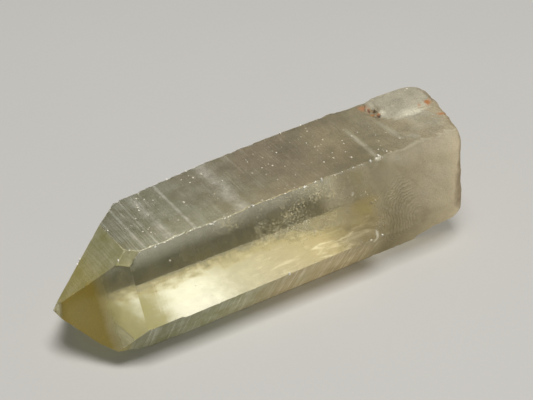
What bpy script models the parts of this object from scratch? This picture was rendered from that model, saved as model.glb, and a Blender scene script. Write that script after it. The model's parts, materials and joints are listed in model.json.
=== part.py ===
# A single citrine crystal lying on one of its prism faces: a flattened six-sided prism,
# a point of sloping faces at -X, and a broken, worn base at +X with a lump fused on its top.
# Everything is worked out in millimetres and turned into metres when a mesh is made.

import math
import random

import bmesh
import bpy
from mathutils import Matrix, Vector, noise

MM = 0.001

# Driving dimensions. A station is the distance along the crystal from its point, and a face's
# distance is measured square to the face from the crystal's long axis.
CRYSTAL_LENGTH = 60.0
AXIS_HEIGHT = 6.91  # the long axis over the face that the crystal lies on
AXIS_LEAN = math.radians(0.95)  # how far the axis rises toward the point
RHOMB_TILT = math.radians(38.22)  # sloping point faces against the prism faces, as in all quartz
CORNER_TILT = math.radians(24.45)  # the small corner facet under the point
STEEP_TILT = math.radians(24.47)  # the steep face under the point

# Prism faces are named by their turn in degrees from the top face toward the near side (-Y).
TOP = 0
NEAR_UPPER = 60
NEAR_LOWER = 120
REST = 180
FAR_LOWER = 240
FAR_UPPER = 300
NEAR_CORNER = 30  # the corner between TOP and NEAR_UPPER

# Each prism face has its straight stretches as (station, distance) and, where it is stepped, the
# growth lines across it: the first and last station, the mean spacing and the width of one line.
PRISM_FACES = {
    TOP: {"profile": ((0.0, 6.13), (62.0, 7.28)), "lines": (9.2, 43.0, 1.7, 0.14)},
    NEAR_UPPER: {"profile": ((0.0, 7.96), (62.0, 8.64)), "lines": None},
    NEAR_LOWER: {"profile": ((0.0, 9.96), (62.0, 9.14)), "lines": (14.6, 40.0, 2.0, 0.22)},
    REST: {"profile": ((0.0, AXIS_HEIGHT), (62.0, AXIS_HEIGHT)), "lines": None},
    FAR_LOWER: {"profile": ((0.0, 8.47), (62.0, 9.40)), "lines": (12.0, 43.0, 2.4, 0.16)},
    FAR_UPPER: {
        "profile": ((0.0, 6.33), (22.6, 8.48), (35.0, 9.18), (62.0, 9.90)),
        "lines": (10.5, 43.0, 1.9, 0.16),
    },
}
LINE_SEED = 500
LINE_SPREAD = (0.45, 1.6)  # shortest and longest step between lines, as shares of their spacing
PRISM_OVERRUN = 6.0  # how far the prism is built past both ends, before they are cut

# Wider ledges across a face: (face, station, width, rise).
LEDGES = (
    (TOP, 14.5, 0.70, 0.10),
    (TOP, 24.7, 0.90, 0.12),
    (TOP, 44.6, 0.24, 0.22),
    (NEAR_UPPER, 44.6, 0.30, 0.12),
    (NEAR_LOWER, 13.0, 0.30, 0.16),
)

# Point faces: (turn, tilt, distance from the axis at station 0).
POINT_FACES = (
    (TOP, RHOMB_TILT, -0.136),
    (NEAR_UPPER, RHOMB_TILT, 1.323),
    (FAR_UPPER, RHOMB_TILT, -1.391),
    (REST, RHOMB_TILT, 0.896),
    (FAR_LOWER, RHOMB_TILT, 1.307),
    (NEAR_CORNER, CORNER_TILT, 3.643),
    (REST, STEEP_TILT, 2.032),
)
TIP_CHIP = ((-0.94, -0.20, 0.28), -0.12)  # a small flat where the very point has broken off

# Broken planes of the base: (direction, distance from the axis at station 0).
BREAK_PLANES = (
    ((0.967, -0.250, -0.042), 57.00),  # the end itself
    ((0.300, -0.050, -0.953), 21.95),  # the slanting break under the end
    ((0.541, -0.828, 0.149), 37.45),  # the near corner of the end
    ((0.740, 0.590, 0.320), 48.60),  # the far corner of the end
    ((0.700, 0.480, -0.530), 44.60),  # the far lower corner of the end
)
CUT_TOLERANCE = 1e-5
SAME_PLANE = math.radians(0.03)  # faces closer in direction than this are one flat face

# The base is worn from one station on along its top, and from an earlier one low down.
TOP_WORN_FROM = 44.9
LOW_WORN_FROM = 41.0
TOP_LEVEL = 5.0  # height over the axis at which the top's station holds
WORN_FADE = 3.0
WORN_SMOOTHINGS = 3
WORN_PULL = 0.5  # how far a smoothing draws a fully worn vertex toward its neighbours
BASE_CELL = 1.15
BASE_HALF_WIDTH = 12.0
SLICE_TOLERANCE = 0.02
SHORTEST_EDGE = 0.22

# The broken surface: curved ripples round one centre, on a rough ground.
RIPPLES = {"centre": Vector((60.5, 2.0, 9.5)), "spacing": 3.4, "height": 0.10, "waver": 0.8, "middle": 0.6}
ROUGH_GROUND = {"per_mm": 0.21, "height": 0.22}
NOISE_LAYERS = (0.8, 2.0, 3)  # fading, finer scale and number of the layers in every rough surface

# The fused lump on the far top edge.
LUMP = {
    "centre": Vector((54.6, 3.65, 6.85)),
    "half_sizes": Vector((4.9, 2.9, 1.45)),
    "squareness": 0.55,
    "corner_reach": 1.25,
    "roughness": 0.05,
    "grain": 1.9,
}

# Scooped pits and chips: (what it is, centre, radius).
SCOOPS = (
    ("lump_pit", Vector((50.1, 3.55, 8.20)), 1.20),
    ("lump_hollow", Vector((51.8, 1.50, 8.35)), 0.80),
    ("ledge_chip", Vector((44.5, -6.05, 7.75)), 0.95),
    ("near_edge_chip", Vector((40.6, -10.85, -0.95)), 0.62),
    ("upper_edge_chip", Vector((42.3, -6.00, 7.35)), 0.50),
    ("front_edge_chip", Vector((15.6, -5.85, 6.75)), 0.40),
    ("far_edge_chip", Vector((29.0, 10.55, 0.10)), 0.85),
)
SCOOP_UNEVENNESS = 0.35
SCOOP_GRAIN = 1.3

CRYSTAL_FINISH = {"Base Color": (0.74, 0.66, 0.40, 1.0), "Roughness": 0.12, "Metallic": 0.0, "IOR": 1.55}


def clearScene():
    for obj in list(bpy.data.objects):
        bpy.data.objects.remove(obj, do_unlink=True)


def crossDirection(turn):
    angle = math.radians(turn)
    return Vector((0.0, -math.sin(angle), math.cos(angle)))


def pointNormal(turn, tilt):
    """The outward direction of a sloping face, on an axis that leans by AXIS_LEAN."""
    upright = crossDirection(turn) * math.cos(tilt) + Vector((-math.sin(tilt), 0.0, 0.0))
    return Matrix.Rotation(AXIS_LEAN, 3, "Y") @ upright


def straightDistance(turn, station):
    profile = PRISM_FACES[turn]["profile"]
    for (startX, startD), (endX, endD) in zip(profile, profile[1:]):
        if station <= endX:
            break
    return startD + (endD - startD) * (station - startX) / (endX - startX)


def growthLines(turn):
    """Stations of the fine growth lines across a face, unevenly spaced."""
    spec = PRISM_FACES[turn]["lines"]
    if spec is None:
        return []
    first, last, spacing, width = spec
    dice = random.Random(LINE_SEED + turn)
    lines = []
    station = first
    while station < last:
        lines.append(station)
        station += spacing * dice.uniform(*LINE_SPREAD)
    return lines


def ramp(station, centre, width):
    return min(1.0, max(0.0, (station - centre) / width + 0.5))


def faceDistance(turn, station, lines):
    """The face's distance at a station: flat treads between growth lines, and a rise at each ledge."""
    distance = sum(rise * ramp(station, at, width) for face, at, width, rise in LEDGES if face == turn)
    width = PRISM_FACES[turn]["lines"][-1] if lines else 0.0
    if not lines or station < lines[0] - width / 2 or station > lines[-1] + width / 2:
        return distance + straightDistance(turn, station)
    treads = [straightDistance(turn, (low + high) / 2) for low, high in zip(lines, lines[1:])]
    levels = [straightDistance(turn, lines[0])] + treads + [straightDistance(turn, lines[-1])]
    level = levels[0]
    for line, before, after in zip(lines, levels, levels[1:]):
        level += (after - before) * ramp(station, line, width)
    return distance + level


def sectionCorners(station, lines):
    """The six corners of the cross-section, each where two neighbouring faces meet."""
    turns = sorted(PRISM_FACES)
    corners = []
    for here, following in zip(turns, turns[1:] + turns[:1]):
        first = crossDirection(here)
        second = crossDirection(following)
        firstD = faceDistance(here, station, lines[here])
        secondD = faceDistance(following, station, lines[following])
        det = first.y * second.z - first.z * second.y
        y = (firstD * second.z - secondD * first.z) / det
        z = (first.y * secondD - second.y * firstD) / det
        corners.append(Vector((station, y, z)))
    return corners


def ringStations(lines):
    """Where the prism needs a cross-section: at both edges of every growth line and ledge."""
    stations = [-PRISM_OVERRUN, CRYSTAL_LENGTH + PRISM_OVERRUN]
    for turn, face in PRISM_FACES.items():
        stations += [station for station, distance in face["profile"][1:-1]]
        if face["lines"]:
            half = face["lines"][-1] / 2
            stations += [line + side * half for line in lines[turn] for side in (-1, 1)]
    for turn, at, width, rise in LEDGES:
        stations += [at - width / 2, at + width / 2]
    kept = []
    for station in sorted(stations):
        if not kept or station - kept[-1] > SLICE_TOLERANCE:
            kept.append(station)
    return kept


def buildPrism():
    """The stepped six-sided prism, longer than the crystal at both ends."""
    bm = bmesh.new()
    lines = {turn: growthLines(turn) for turn in PRISM_FACES}
    rings = []
    for station in ringStations(lines):
        rings.append([bm.verts.new(corner) for corner in sectionCorners(station, lines)])
    for ring, following in zip(rings, rings[1:]):
        for i in range(6):
            j = (i + 1) % 6
            bm.faces.new((ring[i], following[i], following[j], ring[j]))
    bm.faces.new(rings[0])
    bm.faces.new(list(reversed(rings[-1])))
    bmesh.ops.recalc_face_normals(bm, faces=bm.faces)
    return bm


def everything(bm):
    return bm.verts[:] + bm.edges[:] + bm.faces[:]


def cutAway(bm, normal, distance):
    """Removes what lies beyond a plane and closes the cut with one flat face."""
    cut = bmesh.ops.bisect_plane(
        bm,
        geom=everything(bm),
        dist=CUT_TOLERANCE,
        plane_co=normal * distance,
        plane_no=normal,
        clear_outer=True,
    )
    rim = [item for item in cut["geom_cut"] if isinstance(item, bmesh.types.BMEdge)]
    bmesh.ops.edgeloop_fill(bm, edges=rim)
    bmesh.ops.recalc_face_normals(bm, faces=bm.faces)


def cutPoint(bm):
    for turn, tilt, distance in POINT_FACES:
        cutAway(bm, pointNormal(turn, tilt), distance)
    direction, distance = TIP_CHIP
    cutAway(bm, Vector(direction).normalized(), distance)


def breakBase(bm):
    for direction, distance in BREAK_PLANES:
        cutAway(bm, Vector(direction).normalized(), distance)


def sliceBase(bm):
    """Divides the worn base into small cells, which can then be rounded and roughened."""
    across = (-BASE_HALF_WIDTH, BASE_HALF_WIDTH)
    ranges = ((LOW_WORN_FROM, CRYSTAL_LENGTH), across, across)
    for axis, (low, high) in enumerate(ranges):
        direction = Vector((0.0, 0.0, 0.0))
        direction[axis] = 1.0
        for i in range(int((high - low) / BASE_CELL) + 1):
            bmesh.ops.bisect_plane(
                bm,
                geom=everything(bm) if axis == 0 else baseGeometry(bm),
                dist=SLICE_TOLERANCE,
                plane_co=direction * (low + i * BASE_CELL),
                plane_no=direction,
            )
    loose = [vert for vert in bm.verts if vert.co.x > LOW_WORN_FROM + SHORTEST_EDGE and not onRest(vert)]
    bmesh.ops.remove_doubles(bm, verts=loose, dist=SHORTEST_EDGE)
    bmesh.ops.triangulate(bm, faces=bm.faces)


def baseGeometry(bm):
    """The faces that lie wholly in the worn base, with their edges and vertices."""
    start = LOW_WORN_FROM - SLICE_TOLERANCE
    faces = [face for face in bm.faces if all(vert.co.x > start for vert in face.verts)]
    edges = dict.fromkeys(edge for face in faces for edge in face.edges)
    verts = dict.fromkeys(vert for face in faces for vert in face.verts)
    return faces + list(edges) + list(verts)


def onRest(vert):
    return abs(vert.co.z + AXIS_HEIGHT) < SLICE_TOLERANCE


def wear(vert):
    """How worn the surface is at a vertex, from none to fully worn."""
    if onRest(vert):
        return 0.0
    up = min(1.0, max(0.0, vert.co.z / TOP_LEVEL))
    start = LOW_WORN_FROM + (TOP_WORN_FROM - LOW_WORN_FROM) * up
    return min(1.0, max(0.0, (vert.co.x - start) / WORN_FADE))


def roundBase(bm):
    """Wears the edges of the base round, by drawing each vertex toward its neighbours."""
    worn = [(vert, wear(vert)) for vert in bm.verts if wear(vert) > 0.0]
    for i in range(WORN_SMOOTHINGS):
        targets = []
        for vert, amount in worn:
            near = [edge.other_vert(vert).co for edge in vert.link_edges]
            targets.append(vert.co.lerp(sum(near, Vector()) / len(near), WORN_PULL * amount))
        for (vert, amount), target in zip(worn, targets):
            vert.co = target


def brokenRelief(point):
    """How far the broken base stands in or out at a point."""
    rough = noise.fractal(point * ROUGH_GROUND["per_mm"], *NOISE_LAYERS)
    waver = RIPPLES["waver"] * noise.noise(point * ROUGH_GROUND["per_mm"])
    away = (point - RIPPLES["centre"]).length + waver
    ripple = abs(math.sin(math.pi * away / RIPPLES["spacing"])) - RIPPLES["middle"]
    return RIPPLES["height"] * ripple + ROUGH_GROUND["height"] * rough


def roughenBase(bm):
    bm.normal_update()
    moves = [(vert, vert.normal * (brokenRelief(vert.co) * wear(vert))) for vert in bm.verts]
    for vert, move in moves:
        vert.co += move
        vert.co.z = max(vert.co.z, -AXIS_HEIGHT)


def newObject(name, bm, material):
    """A Blender object, in metres, from a mesh in millimetres about the crystal's axis."""
    mesh = bpy.data.meshes.new(name)
    bmesh.ops.scale(bm, vec=(MM, MM, MM), verts=bm.verts)
    bm.to_mesh(mesh)
    bm.free()
    mesh.materials.append(material)
    obj = bpy.data.objects.new(name, mesh)
    bpy.context.scene.collection.objects.link(obj)
    return obj


def buildCrystal(material):
    bm = buildPrism()
    cutPoint(bm)
    breakBase(bm)
    bmesh.ops.dissolve_limit(bm, angle_limit=SAME_PLANE, verts=bm.verts, edges=bm.edges)
    sliceBase(bm)
    roundBase(bm)
    roughenBase(bm)
    return newObject("citrine_crystal", bm, material)


def buildLump(material):
    """The rounded lump of a second crystal fused on the far top edge of the base."""
    bm = bmesh.new()
    bmesh.ops.create_icosphere(bm, subdivisions=3, radius=1.0)
    for vert in bm.verts:
        squarer = Vector([math.copysign(abs(part) ** LUMP["squareness"], part) for part in vert.co])
        squarer /= max(1.0, squarer.length / LUMP["corner_reach"])
        rough = 1.0 + LUMP["roughness"] * noise.fractal(vert.co * LUMP["grain"], *NOISE_LAYERS)
        vert.co = squarer * LUMP["half_sizes"] * rough + LUMP["centre"]
    return newObject("fused_lump", bm, material)


def buildScoop(name, centre, radius, material):
    bm = bmesh.new()
    bmesh.ops.create_icosphere(bm, subdivisions=2, radius=radius)
    for vert in bm.verts:
        vert.co *= 1.0 + SCOOP_UNEVENNESS * noise.noise(vert.co * SCOOP_GRAIN + centre)
        vert.co += centre
    return newObject(name, bm, material)


def asHelper(obj):
    obj.hide_render = True
    obj.display_type = "WIRE"


def addBoolean(obj, operation, other):
    modifier = obj.modifiers.new(other.name, "BOOLEAN")
    modifier.operation = operation
    modifier.solver = "EXACT"
    modifier.object = other
    asHelper(other)


def crystalMaterial():
    material = bpy.data.materials.new("citrine")
    material.use_nodes = True
    shader = material.node_tree.nodes["Principled BSDF"]
    for name, value in CRYSTAL_FINISH.items():
        shader.inputs[name].default_value = value
    return material


def standOnOrigin(objects, body):
    """Moves every mesh so that the crystal stands on z = 0, centred on the origin."""
    points = [vert.co for vert in body.data.vertices]
    middle = [(min(p[axis] for p in points) + max(p[axis] for p in points)) / 2 for axis in (0, 1)]
    shift = Matrix.Translation((-middle[0], -middle[1], AXIS_HEIGHT * MM))
    for obj in objects:
        obj.data.transform(shift)


def main():
    clearScene()
    material = crystalMaterial()
    crystal = buildCrystal(material)
    lump = buildLump(material)
    scoops = [buildScoop(name, centre, radius, material) for name, centre, radius in SCOOPS]
    standOnOrigin([crystal, lump] + scoops, crystal)
    addBoolean(crystal, "UNION", lump)
    for scoop in scoops:
        addBoolean(crystal, "DIFFERENCE", scoop)


main()
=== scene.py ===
import json
import math
import random
from types import SimpleNamespace

import bmesh
import bpy
import numpy as np
from mathutils import Matrix, Vector, noise
from mathutils.geometry import delaunay_2d_cdt

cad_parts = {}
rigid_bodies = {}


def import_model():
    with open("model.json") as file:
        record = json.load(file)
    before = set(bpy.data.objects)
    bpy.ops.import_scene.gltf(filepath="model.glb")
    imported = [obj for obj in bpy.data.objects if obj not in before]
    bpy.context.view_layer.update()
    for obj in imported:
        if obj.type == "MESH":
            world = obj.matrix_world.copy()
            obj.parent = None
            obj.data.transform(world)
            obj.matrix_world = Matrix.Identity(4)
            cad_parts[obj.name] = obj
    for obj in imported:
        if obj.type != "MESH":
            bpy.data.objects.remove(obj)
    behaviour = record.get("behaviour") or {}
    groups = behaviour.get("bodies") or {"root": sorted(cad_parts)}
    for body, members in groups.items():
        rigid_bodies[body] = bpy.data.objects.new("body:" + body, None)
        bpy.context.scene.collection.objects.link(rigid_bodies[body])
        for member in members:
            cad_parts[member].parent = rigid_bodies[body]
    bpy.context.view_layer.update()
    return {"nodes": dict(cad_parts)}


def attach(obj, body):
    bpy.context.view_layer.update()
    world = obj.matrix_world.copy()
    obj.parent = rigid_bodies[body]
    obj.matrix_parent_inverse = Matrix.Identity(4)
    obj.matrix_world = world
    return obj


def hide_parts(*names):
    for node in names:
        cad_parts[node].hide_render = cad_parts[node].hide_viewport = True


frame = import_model()
scene = bpy.context.scene
mm = 0.001
crystalNode = "citrine_crystal"
print("frame loaded:", ", ".join(frame["nodes"]))


# Small helpers for node trees.

def addNode(tree, kind, inputs=None, **settings):
    node = tree.nodes.new(kind)
    for name, value in settings.items():
        setattr(node, name, value)
    for name, value in (inputs or {}).items():
        if isinstance(value, bpy.types.NodeSocket):
            tree.links.new(value, node.inputs[name])
        else:
            node.inputs[name].default_value = value
    return node


def doMath(tree, operation, first, *others, clamp=False):
    # Each further value is taken in with the result so far.
    result = first
    for inputs in [{1: other} for other in others] or [{}]:
        node = addNode(tree, "ShaderNodeMath", {0: result, **inputs}, operation=operation, use_clamp=clamp)
        result = node.outputs[0]
    return result


def doVector(tree, operation, first, second):
    name = "Value" if operation in ("DOT_PRODUCT", "DISTANCE", "LENGTH") else "Vector"
    return addNode(tree, "ShaderNodeVectorMath", {0: first, 1: second}, operation=operation).outputs[name]


def remap(tree, value, fromLow, fromHigh, toLow=0.0, toHigh=1.0):
    inputs = {"Value": value, "From Min": fromLow, "From Max": fromHigh, "To Min": toLow, "To Max": toHigh}
    return addNode(tree, "ShaderNodeMapRange", inputs, clamp=True).outputs["Result"]


def noiseOf(tree, vector, scale, detail=3.0, rough=0.55, warp=0.0):
    inputs = {"Vector": vector, "Scale": scale, "Detail": detail, "Roughness": rough, "Distortion": warp}
    return addNode(tree, "ShaderNodeTexNoise", inputs).outputs[0]


def mixColours(tree, amount, first, second):
    node = addNode(tree, "ShaderNodeMix", data_type="RGBA")
    for index, value in ((0, amount), (6, first), (7, second)):
        if isinstance(value, bpy.types.NodeSocket):
            tree.links.new(value, node.inputs[index])
        else:
            node.inputs[index].default_value = value
    return node.outputs[2]


def mixValues(tree, amount, first, second):
    return addNode(tree, "ShaderNodeMix", {0: amount, 2: first, 3: second}).outputs[0]


def mixShaders(tree, amount, first, second):
    return addNode(tree, "ShaderNodeMixShader", {0: amount, 1: first, 2: second}).outputs[0]


def scaled(tree, vector, amount):
    inputs = {0: vector, "Scale": amount}
    return addNode(tree, "ShaderNodeVectorMath", inputs, operation="SCALE").outputs[0]


def rampOf(tree, value, stops):
    node = addNode(tree, "ShaderNodeValToRGB", {0: value})
    elements = node.color_ramp.elements
    while len(elements) < len(stops):
        elements.new(0.5)
    for element, (place, colour) in zip(elements, stops):
        element.position = place
        element.color = colour
    return node.outputs[0]


def useGroup(tree, group, inputs):
    return addNode(tree, "ShaderNodeGroup", inputs, node_tree=group).outputs


def attribute(tree, name):
    return addNode(tree, "ShaderNodeAttribute", attribute_name=name).outputs["Fac"]


# The crystal's own mesh: each flat face of the solid is filled with small even triangles.

crystal = {
    "cell": 0.32,  # mm between points on a face
    "topCell": 0.26,
    "edgeRow": 0.07,  # a row of points this far from a sharp edge, so that the edge can be blunted
    "sharpFrom": 26.0,  # degrees between faces
    "sharpInRelief": 28.0,
    "samePlane": 0.02,
    "mergeWithin": 0.002,
    "straight": 0.9,  # a normal counts as upward, or as along the prism, from this share on
    "rowStep": 0.866,  # rows, jitter and the room by the outline are shares of a cell
    "jitter": 0.12,
    "fromOutline": 0.55,
    "fromEdgeRow": 0.8,  # share of edgeRow
    "seed": 41,
    "pointEnds": -18.5,  # x where the sloping faces of the point end
    "wornFromTop": 14.73,  # x from which the base is worn, at the top and at the sides
    "wornFromLow": 10.83,
    "topLevel": 11.9,
    "lowLevel": 6.9,
    "wornFade": 3.0,
    "restBand": 0.02,  # points below this height stay on the floor
    "pull": 0.5,  # how far one smoothing moves a point towards its neighbours
    "wornSmoothings": 1,
    "stepSmoothings": 3,
    "ledgeAt": 14.5,  # the ledge across the prism where the worn part starts
    "ledgeWidth": 1.2,
    "ledgeSmoothings": 14,
    "softSpots": (  # centre, width and smoothings of the hollows that only just show in the lump
        ((21.84, 1.63, 14.64), 0.9, 24), ((20.9, 3.9, 14.6), 0.7, 14)),
}

edgeWear = {
    "blunt": 0.006,  # how far a sharp edge is drawn in, mm
    "uneven": (2.3, 0.8),  # noise per mm, and how much it changes the blunting
    "chipDepth": 0.10,
    "coarse": 1.1,
    "fine": 3.7,
    "shift": (3.1, 0.4, 7.7),
    "chipsFrom": 0.34,
    "chipsFade": 0.4,
    "plainEdge": 0.35,
}


def mergedSolid(node):
    bm = bmesh.new()
    bm.from_mesh(node.data)
    bmesh.ops.scale(bm, vec=(1 / mm,) * 3, verts=bm.verts)
    bmesh.ops.remove_doubles(bm, verts=bm.verts, dist=crystal["mergeWithin"])
    bmesh.ops.dissolve_limit(
        bm, angle_limit=math.radians(crystal["samePlane"]), verts=bm.verts, edges=bm.edges)
    bm.normal_update()
    return bm


def within(value):
    return min(1.0, max(0.0, value))


def wornAt(point):
    # How worn the surface is, from 0 to 1. The worn part starts further back at the top.
    low = crystal["lowLevel"]
    up = within((point.z - low) / (crystal["topLevel"] - low))
    start = crystal["wornFromLow"] + (crystal["wornFromTop"] - crystal["wornFromLow"]) * up
    return within((point.x - start) / crystal["wornFade"])


def cellAt(normal):
    return crystal["topCell"] if normal.z > crystal["straight"] else crystal["cell"]


def fillFaces(bm, kinds):
    points = [vert.co.copy() for vert in bm.verts]
    index = {vert: i for i, vert in enumerate(bm.verts)}
    sharpEdge = {}
    chain = {}
    edgePoints = set()
    for edge in bm.edges:
        angle = math.degrees(edge.calc_face_angle(0.0))
        apart = len({kinds[face.index] for face in edge.link_faces}) > 1
        sharp = apart and angle > crystal["sharpFrom"] and wornAt(edge.verts[0].co) < 0.5
        sharpEdge[edge] = sharp
        cell = min(cellAt(face.normal) for face in edge.link_faces)
        count = max(1, round(edge.calc_length() / cell))
        a, b = edge.verts
        row = [index[a]]
        for i in range(1, count):
            row.append(len(points))
            points.append(a.co.lerp(b.co, i / count))
        row.append(index[b])
        chain[edge] = row
        if sharp:
            edgePoints.update(row)
    triangles = []
    sources = []
    dice = random.Random(crystal["seed"])
    for face in bm.faces:
        loop = []
        inward = []
        for corner in face.loops:
            row = chain[corner.edge]
            row = row if row[0] == index[corner.vert] else row[::-1]
            along = (corner.link_loop_next.vert.co - corner.vert.co).normalized()
            loop += row[:-1]
            if sharpEdge[corner.edge]:
                side = face.normal.cross(along)
                inward += [points[i] + side * crystal["edgeRow"] for i in row[1:-1]]
        made = fillFace(face, loop, inward, points, cellAt(face.normal), dice)
        triangles += made
        sources += [face.index] * len(made)
    return points, triangles, sources, edgePoints


def fillFace(face, loop, inward, points, cell, dice):
    # Fills one flat face with rows of points and joins them, with the rows along the prism.
    if len(loop) == 3:
        return [tuple(loop)]
    normal = face.normal
    across = normal.orthogonal().normalized()
    if abs(normal.x) < crystal["straight"]:
        across = Vector((1, 0, 0)) - normal * normal.x
        across.normalize()
    upward = normal.cross(across)
    base = points[loop[0]]

    def flat(point):
        away = point - base
        return Vector((away.dot(across), away.dot(upward)))

    outline = [flat(points[i]) for i in loop]
    inner = [flat(point) for point in inward]
    lows = [min(p[k] for p in outline) for k in (0, 1)]
    highs = [max(p[k] for p in outline) for k in (0, 1)]
    outlineArray = np.array(outline)
    grid = []
    jitter = crystal["jitter"]
    row = 0
    y = lows[1] + 0.5 * cell
    while y < highs[1]:
        x = lows[0] + cell * (0.5 + 0.5 * (row % 2))
        while x < highs[0]:
            grid.append((x + cell * dice.uniform(-jitter, jitter), y + cell * dice.uniform(-jitter, jitter)))
            x += cell
        y += cell * crystal["rowStep"]
        row += 1
    flatPoints = outline + clearOfOutline(inner, outlineArray, crystal["edgeRow"] * crystal["fromEdgeRow"])
    flatPoints += clearOfOutline(grid, outlineArray, cell * crystal["fromOutline"])
    rim = list(range(len(outline)))
    result = delaunay_2d_cdt(flatPoints, [], [rim], 0, 1e-7, True)
    made, triangleRows, origins = result[0], np.array(result[2]), result[3]
    middles = np.array(made)[triangleRows].mean(axis=1)
    triangleRows = triangleRows[insideOutline(middles, outlineArray)]
    number = []
    for position, origin in zip(made, origins):
        if origin and origin[0] < len(loop):
            number.append(loop[origin[0]])
        else:
            number.append(len(points))
            points.append(base + across * position.x + upward * position.y)
    return [tuple(number[i] for i in row) for row in triangleRows.tolist()]


def insideOutline(spots, outline):
    x, y = spots[:, 0], spots[:, 1]
    inside = np.zeros(len(spots), bool)
    for (x0, y0), (x1, y1) in zip(outline, np.roll(outline, -1, axis=0)):
        crosses = (y0 > y) != (y1 > y)
        if y1 != y0:
            inside ^= crosses & (x < (x1 - x0) * (y - y0) / (y1 - y0) + x0)
    return inside


def awayFromOutline(spots, outline):
    nearest = np.full(len(spots), 1e9)
    for start, end in zip(outline, np.roll(outline, -1, axis=0)):
        line = end - start
        length = max(1e-12, float(line @ line))
        share = np.clip(((spots - start) @ line) / length, 0.0, 1.0)
        away = np.linalg.norm(spots - (start + share[:, None] * line), axis=1)
        nearest = np.minimum(nearest, away)
    return nearest


def clearOfOutline(spots, outline, gap):
    if not spots:
        return []
    spots = np.array(spots)
    keep = insideOutline(spots, outline) & (awayFromOutline(spots, outline) > gap)
    return [Vector(p) for p in spots[keep]]


def roundedAndWorn(points, triangles, edgePoints):
    # Rounds the broken base, then blunts and chips the sharp edges.
    spots = np.array(points)
    tri = np.array(triangles)
    pairs = np.concatenate([tri[:, [0, 1]], tri[:, [1, 2]], tri[:, [2, 0]]])
    pairs = np.unique(np.sort(pairs, axis=1), axis=0)
    worn = np.array([wornAt(point) for point in points])
    free = spots[:, 2] >= crystal["restBand"]
    links = np.bincount(pairs.ravel(), minlength=len(spots))[:, None]
    fixed = np.zeros(len(spots), bool)
    fixed[list(edgePoints)] = True
    stepPull = ~fixed & free & (worn == 0.0)
    wornPull = worn * free
    fromLedge = (spots[:, 0] - crystal["ledgeAt"]) / crystal["ledgeWidth"]
    ledgePull = np.exp(-fromLedge ** 2) * (free & ~fixed)
    rounds = [(stepPull, crystal["stepSmoothings"]), (wornPull, crystal["wornSmoothings"]),
              (ledgePull, crystal["ledgeSmoothings"])]
    for centre, width, count in crystal["softSpots"]:
        away = np.linalg.norm(spots - np.array(centre), axis=1)
        rounds.append((np.exp(-(away / width) ** 2), count))
    for pull, count in rounds:
        for i in range(count):
            total = np.zeros_like(spots)
            np.add.at(total, pairs[:, 0], spots[pairs[:, 1]])
            np.add.at(total, pairs[:, 1], spots[pairs[:, 0]])
            spots += (total / links - spots) * crystal["pull"] * pull[:, None]
    faceNormals = np.cross(spots[tri[:, 1]] - spots[tri[:, 0]], spots[tri[:, 2]] - spots[tri[:, 0]])
    normals = np.zeros_like(spots)
    for k in range(3):
        np.add.at(normals, tri[:, k], faceNormals)
    normals /= np.linalg.norm(normals, axis=1)[:, None]
    edge = np.zeros(len(spots))
    shift = Vector(edgeWear["shift"])
    perMm, change = edgeWear["uneven"]
    for i in sorted(edgePoints):
        point = points[i]
        chips = noise.noise(point * edgeWear["coarse"] + shift) + 0.5 * noise.noise(point * edgeWear["fine"])
        chipped = within((chips - edgeWear["chipsFrom"]) / edgeWear["chipsFade"])
        edge[i] = edgeWear["plainEdge"] + (1.0 - edgeWear["plainEdge"]) * chipped
        blunt = edgeWear["blunt"] * (1.0 + change * noise.noise(point * perMm))
        spots[i] -= normals[i] * (blunt + edgeWear["chipDepth"] * chipped)
    return spots, tri, worn, edge


# For each kind of face: direction, frost, under (1 for the one that it lies on), growth lines,
# share of the lamps' light let through, and tone. The tone is painted light and shade: a factor that
# makes the face's frost colour lighter or darker for how the light falls on it.
faceKinds = {
    "top": ((0.0, 0.0, 1.0), 0.86, 0.0, 1.0, 0.95, 0.82),
    "nearUpper": ((0.0, -0.866, 0.5), 0.06, 0.0, 0.12, 0.95, 1.0),
    "nearLower": ((0.0, -0.866, -0.5), 0.94, 0.0, 0.9, 0.10, 1.25),
    "rest": ((0.0, 0.0, -1.0), 0.95, 1.0, 0.5, 0.05, 1.0),
    "farLower": ((0.0, 0.866, -0.5), 0.98, 0.0, 0.5, 0.05, 0.46),
    "farUpper": ((0.0, 0.866, 0.5), 0.55, 0.0, 0.9, 0.95, 0.42),
    "pointTop": ((-0.6187, 0.0, 0.7857), 0.95, 0.0, 0.2, 0.95, 1.65),
    "pointNear": ((-0.6187, -0.6804, 0.3928), 0.42, 0.0, 0.0, 0.95, 0.80),
    "pointFar": ((-0.6187, 0.6804, 0.3928), 0.5, 0.0, 0.1, 0.95, 1.0),
    "pointRest": ((-0.6187, 0.0, -0.7857), 0.95, 0.0, 0.1, 0.10, 1.0),
    "pointFarLower": ((-0.6187, 0.6804, -0.3928), 0.90, 0.0, 0.1, 0.10, 1.0),
    "cornerFacet": ((-0.414, -0.455, 0.788), 0.9, 0.0, 0.0, 0.95, 2.4),
}


def kindOfFaces(bm):
    directions = np.array([kind[0] for kind in faceKinds.values()])
    directions /= np.linalg.norm(directions, axis=1)[:, None]
    normals = np.array([face.normal for face in bm.faces])
    alike = normals @ directions.T
    names = list(faceKinds)
    onPoint = np.array([name.startswith(("point", "corner")) for name in names])
    farFromPoint = np.array([face.calc_center_median().x > crystal["pointEnds"] for face in bm.faces])
    alike[farFromPoint[:, None] & onPoint] = -1.0
    return np.argmax(alike, axis=1)


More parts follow.
